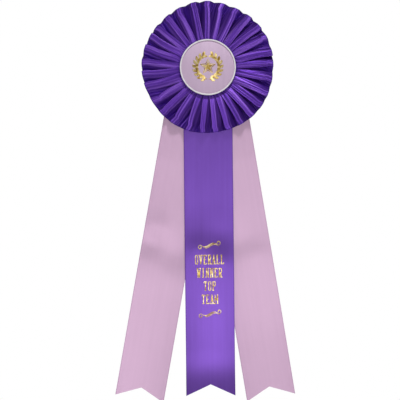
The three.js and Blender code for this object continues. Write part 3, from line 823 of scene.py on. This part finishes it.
# leaves set in pairs along an arc; a leaf is where two equal discs overlap
def wreathDistance(x, z, side, p):
    x = x * side
    turn = np.radians(np.linspace(180 - p["foot"], p["opening"], 60))
    path = p["wreathRadius"] * np.stack([np.sin(turn), np.cos(turn)], axis=-1)
    parts = [strokeDistance(x, z, path, p["stem"])]
    half, bulge = p["leafLength"] / 2, p["leafWidth"] / 2
    disc = (half ** 2 + bulge ** 2) / (2 * bulge)
    for angle in np.radians(np.linspace(p["firstLeaf"], p["opening"] + p["lastLeaf"], p["leaves"])):
        foot = p["wreathRadius"] * np.array([math.sin(angle), math.cos(angle)])
        for tilt in (-p["leafTilt"], p["leafTilt"]):
            heading = angle - np.pi / 2 + tilt
            along = np.array([math.sin(heading), math.cos(heading)])
            middle = foot + half * along
            forward = (x - middle[0]) * along[0] + (z - middle[1]) * along[1]
            sideways = np.abs((x - middle[0]) * along[1] - (z - middle[1]) * along[0])
            parts.append(np.hypot(forward, sideways + disc - bulge) - disc)
    return np.maximum(np.min(parts, axis=0), p["halfGap"] - x)


def makeEmblem(p):
    star = stampedObject("emblem_star_foil", lambda x, z: starDistance(x, z, p),
                         p["starRadius"] + mm, p["starRadius"] + mm, onButton, foil)
    dress(star, goldFoil, ["emblem_star"], "rosette")
    for name, side in (("wreath_left", -1), ("wreath_right", 1)):
        half = p["wreathRadius"] + p["leafLength"]
        leaves = stampedObject(name + "_foil", lambda x, z: wreathDistance(x, z, side, p),
                               half, half, onButton, foil)
        dress(leaves, goldFoil, [name], "rosette")


makeEmblem(emblem)
print("emblem made")


streamer = {
    "width": 50.8 * mm,
    "cloth": 0.26 * mm,
    "notch": 11.5 * mm,  # depth of the fishtail
    "notchBlend": 70 * mm,  # the rows start to follow the notch this far from the points
    "columns": 45,
    "rows": 230,
    "bendLength": 15 * mm,  # cloth below the hinge that bends when a streamer is lifted
    "leastCurl": 1e-3,  # never quite flat, because the bow is divided by it
    "selvedge": 1.0 * mm,
}

# curl is the cross curvature at the points, in 1/m. Tilts are degrees that the cloth leans
# forward, at even steps from the bend down to the points. Dents are left by handling: place
# across and down, radius and depth, all in mm, with a negative depth going backwards.
streamerShapes = {
    "center": {"curl": 6.0, "forward": 1, "tilts": (0.3, 0.5, 3.8, 0.5, -1.0, 15.0),
               "dents": [(12, 97, 14, -0.5), (-12, 110, 13, 0.6), (14, 122, 11, 0.4)]},
    "left": {"curl": 5.0, "forward": -1, "tilts": (-1.0, 1.5, 3.5, -0.5, 0.5, 1.0),
             "dents": [(12, 96, 17, -1.2), (-16, 90, 12, -1.1), (-12, 70, 12, 0.7)]},
    "right": {"curl": 5.0, "forward": -1, "tilts": (-1.0, 0.0, 2.0, -1.0, -3.0, -3.0),
              "dents": [(-11, 84, 15, -0.9), (10, 100, 13, 0.7)]},
}


# the middle of a streamer's bend, the direction across it and the direction down it
def streamerAxes(side):
    joint = jointNamed("streamer_%s_lift" % side)
    across = np.array(joint["axis"], float)
    across = across * np.sign(across[0]) / np.linalg.norm(across)
    return np.array(joint["pos_m"]), across, np.array([across[2], 0.0, -across[0]])


# how far the points are below the bend, and the stapled edge above it
def streamerLengths(side):
    origin, across, down = streamerAxes(side)
    corner = streamer["width"] / 2 * abs(across[2])
    reach = (origin[2] - span("streamer_%s_tail" % side)[0][2] - corner) / abs(down[2])
    head = (span("streamer_%s_head" % side)[1][2] - origin[2] - corner) / abs(down[2])
    return reach, head


# how far forward the cloth has swayed at a share of the way down, as a share of its length: the
# tilt eases from each listed value to the next by 3f^2 - 2f^3, and this is its exact integral
def swayAt(tilts, free):
    steps = len(tilts) - 1
    before = np.minimum((free * steps).astype(int), steps - 1)
    part = free * steps - before
    angle = np.radians(tilts)
    passed = np.concatenate([[0.0], np.cumsum((angle[1:] + angle[:-1]) / 2)])
    change = (angle[before + 1] - angle[before]) * (part ** 3 - part ** 4 / 2)
    return (passed[before] + angle[before] * part + change) / steps


# the cloth at s across and t down. Fore and aft it is the sway, plus a circular bow across that
# grows with t and is nothing at the edges, plus the dents, each a round bell curve.
def streamerPlace(side, s, t, lift=0.0):
    p, shape = streamer, streamerShapes[side]
    origin, across, down = streamerAxes(side)
    reach = streamerLengths(side)[0]
    free = np.clip(t / reach, 0, 1)
    sway = reach * swayAt(shape["tilts"], free)
    curl = np.maximum(shape["curl"] * free * free * (3 - 2 * free), p["leastCurl"])
    half = p["width"] / 2
    bow = (np.cos(curl * s) - np.cos(curl * half)) / curl
    forward = sway + shape["forward"] * bow + lift
    for dentS, dentT, radius, depth in shape["dents"]:
        away = ((s / mm - dentS) ** 2 + (t / mm - dentT) ** 2) / radius ** 2
        forward = forward + depth * mm * np.exp(-away)
    points = origin + (np.sin(curl * s) / curl)[..., None] * across + t[..., None] * down
    return points - forward[..., None] * np.array([0.0, 1.0, 0.0])


# rows run straight across, and near the points they are drawn up towards the middle by the depth
# of the notch
def makeStreamer(side, satin):
    p = streamer
    reach, head = streamerLengths(side)
    half = p["width"] / 2
    s, t = np.meshgrid(clothSteps(-half, half, p["columns"]),
                       clothSteps(-head, reach, p["rows"]), indexing="ij")
    near = np.clip((t - reach + p["notchBlend"]) / p["notchBlend"], 0, 1)
    t = t - p["notch"] * (1 - np.abs(s) / half) * near
    piece = gridObject("streamer_%s_cloth" % side, streamerPlace(side, s, t),
                       np.stack([s, t], axis=-1))
    thicken(piece, p["cloth"])
    dress(piece, satin, ["streamer_%s_head" % side, "streamer_%s_tail" % side])
    # above the hinge the cloth would swing the other way, into its neighbour
    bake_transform(piece)
    print("streamer", side, "cut", round(1000 * (head + reach), 1), "mm long")


edgeBand = (0.0, streamer["width"] / 2, streamer["selvedge"])
purpleRibbon = satinMaterial("woven purple satin ribbon", purpleColours, purpleLook,
                             (*edgeBand, "#673fa0"))
lilacRibbon = satinMaterial("woven lilac satin ribbon", lilacColours, lilacLook,
                            (*edgeBand, "#bd98b8"))
makeStreamer("center", purpleRibbon)
makeStreamer("left", lilacRibbon)
makeStreamer("right", lilacRibbon)


# lays flat points on the centre streamer, round the middle of a CAD node
def onStreamer(node):
    origin, across, down = streamerAxes("center")
    low, high = span(node)
    middle = (low + high) / 2 - origin
    s, t = middle @ across, middle @ down
    lift = streamer["cloth"] / 2 + foil["standOff"] + foil["film"] / 2
    return lambda x, z: streamerPlace("center", s + x, t - z, lift)


def makePrinting(p):
    for number, word in enumerate(p["lines"], 1):
        node = "foil_line_%d" % number
        low, high = span(node)
        height = high[2] - low[2]
        piece = stampedObject(node + "_letters",
                              lambda x, z: lineDistance(x, z, word, height, p),
                              len(word) * p["letterPitch"] / 2 + mm, height / 2 + mm,
                              onStreamer(node), p)
        dress(piece, goldFoil, [node], "streamer_center")
    for node in ("foil_scroll_top", "foil_scroll_bottom"):
        low, high = span(node)
        width, height = high[0] - low[0], high[2] - low[2]
        piece = stampedObject(node + "_ornament",
                              lambda x, z: scrollDistance(x, z, width, height, scroll),
                              width / 2 + mm, height / 2 + mm, onStreamer(node), p)
        dress(piece, goldFoil, [node], "streamer_center")


makePrinting(foil)
print("printing made")


cadFinishes = {
    pulpCard: ["frill_base_card", "button_card", "back_card"],
    whitePlastic: ["button_back"],
    foamTape: ["button_pad", "card_spacer", "pin_pad"],
    stapleWire: ["staple_left", "staple_center", "staple_right"],
    nickelSteel: ["pin_plate", "pin_hinge_rivet", "pin_stem", "pin_catch_shell",
                  "pin_catch_sleeve"],
}
for finish, nodes in cadFinishes.items():
    for node in nodes:
        frame["nodes"][node].data.materials.clear()
        frame["nodes"][node].data.materials.append(finish)
print("cards, staples and pin finished")


studio = {
    "lens": 100.0,
    "sensor": 36.0,
    "frameHeight": 412 * mm,
    "aim": (-8.1 * mm, -137.0 * mm),  # from the rosette's middle, across and up
    "background": 1.0,
    "ambient": 0.21,
    "floorDrop": 230 * mm,  # below the points of the streamers
    "floorRadius": 1.2,
    "lightDrop": 100 * mm,  # the lights aim this far below the rosette's middle
    "lights": [  # name, place, size in metres and power in watts
        ("key", (0.3, -1.7, 2.0), 0.6, 43.0),
        ("front", (0.1, -2.6, -0.5), 0.7, 14.0),
        ("rear", (-0.4, 1.2, 0.5), 0.6, 9.0),
    ],
}


def makeCamera(p):
    camera = bpy.data.cameras.new("camera")
    camera.lens = p["lens"]
    camera.sensor_width = p["sensor"]
    rig = bpy.data.objects.new("camera", camera)
    distance = p["frameHeight"] * p["lens"] / p["sensor"]
    rig.location = (rosetteX + p["aim"][0], rimLow[1] - distance, rosetteZ + p["aim"][1])
    rig.rotation_euler = (math.pi / 2, 0, 0)
    bpy.context.scene.collection.objects.link(rig)
    bpy.context.scene.camera = rig


def makeLight(name, place, size, power):
    light = bpy.data.lights.new(name, "AREA")
    light.shape = "DISK"
    light.size = size
    light.energy = power
    lamp = bpy.data.objects.new(name, light)
    lamp.location = place
    target = Vector((rosetteX, 0.0, rosetteZ - studio["lightDrop"]))
    lamp.rotation_euler = (target - lamp.location).to_track_quat("-Z", "Y").to_euler()
    bpy.context.scene.collection.objects.link(lamp)


# white where the camera sees it, softer where it lights the cloth
def makeWorld(p):
    world = bpy.data.worlds.new("studio")
    bpy.context.scene.world = world
    world.use_nodes = True
    tree = world.node_tree
    tree.nodes.clear()
    lit = addNode(tree, "ShaderNodeBackground", {}, {
        "Color": (1.0, 1.0, 1.0, 1.0), "Strength": p["ambient"]})
    seen = addNode(tree, "ShaderNodeBackground", {}, {
        "Color": (1.0, 1.0, 1.0, 1.0), "Strength": p["background"]})
    ray = addNode(tree, "ShaderNodeLightPath", {}, {})
    mix = addNode(tree, "ShaderNodeMixShader", {}, {
        0: ray.outputs["Is Camera Ray"], 1: lit.outputs[0], 2: seen.outputs[0]})
    addNode(tree, "ShaderNodeOutputWorld", {}, {"Surface": mix.outputs[0]})


# a disc from a square grid, as the button's face is. Its matt white paint gives soft light back.
def makeFloor(p):
    line = np.linspace(-1, 1, 9)
    u, v = np.meshgrid(line, line, indexing="ij")
    x = p["floorRadius"] * u * np.sqrt(1 - v ** 2 / 2)
    y = p["floorRadius"] * v * np.sqrt(1 - u ** 2 / 2)
    points = np.stack([x, y, np.full(x.shape, cadLow[2] - p["floorDrop"])], axis=-1)
    floor = gridObject("floor", points, np.stack([x, y], axis=-1))
    paint, _, shader = newMaterial("matt white paint", 0.9)
    shader.inputs["Base Color"].default_value = linear("#f2f2f2")
    floor.data.materials.append(paint)
    floor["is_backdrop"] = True


makeCamera(studio)
makeWorld(studio)
makeFloor(studio)
for light in studio["lights"]:
    makeLight(*light)
bpy.context.scene.view_settings.view_transform = "Standard"
print("studio made")
